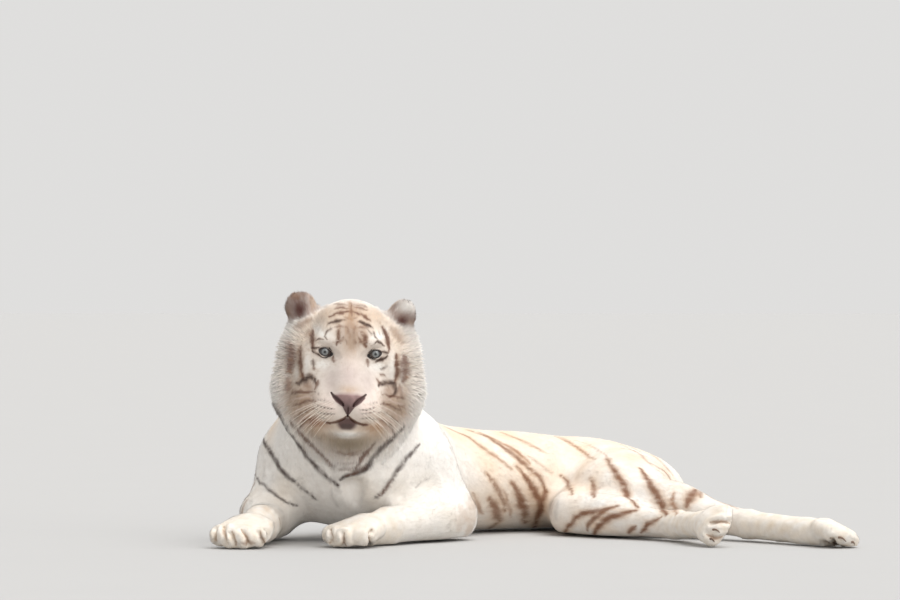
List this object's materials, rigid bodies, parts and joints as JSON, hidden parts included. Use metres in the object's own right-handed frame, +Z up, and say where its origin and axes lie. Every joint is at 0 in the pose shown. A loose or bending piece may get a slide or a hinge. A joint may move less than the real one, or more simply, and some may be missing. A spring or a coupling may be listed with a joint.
{
  "type": "white tiger",
  "caption": "Life-size still model of a white tiger lying with its chest upright, forepaws out in front, hips rolled to its right and the tail round behind its back.",
  "frame": {"origin": "middle of the base of the part's box, on the floor it lies on", "axes": "+Z up; +X towards the tiger's left, the way its hind legs reach; +Y away from its face, so it looks along -Y"},
  "size_m": [1.7, 1.502, 0.6653],
  "materials": {
    "white_coat": "short dense white fur with dark grey-brown stripes on the face and chest",
    "striped_coat": "short cream fur with brown stripes",
    "foot_coat": "short cream-white fur, tan between the toes",
    "ear_fur": "thin pinkish-brown fur over a darker hollow, with a pale rim",
    "eye": "wet and glossy, pale blue-grey iris round a black pupil"
  },
  "bodies": {
    "root": {"head": "white_coat", "neck": "white_coat", "chest": "white_coat", "belly": "striped_coat", "hips": "striped_coat", "ear_left": "ear_fur", "ear_right": "ear_fur", "eye_left": "eye", "eye_right": "eye", "left_upper_arm": "white_coat", "left_forearm": "white_coat", "left_forepaw": "foot_coat", "right_upper_arm": "white_coat", "right_forearm": "white_coat", "right_forepaw": "foot_coat", "left_thigh": "striped_coat", "left_shank": "striped_coat", "left_hind_foot": "foot_coat", "right_thigh": "striped_coat", "right_shank": "striped_coat", "right_hind_foot": "foot_coat", "tail_base": "striped_coat", "tail_middle": "striped_coat", "tail_tip": "striped_coat"}
  },
  "joints": []
}
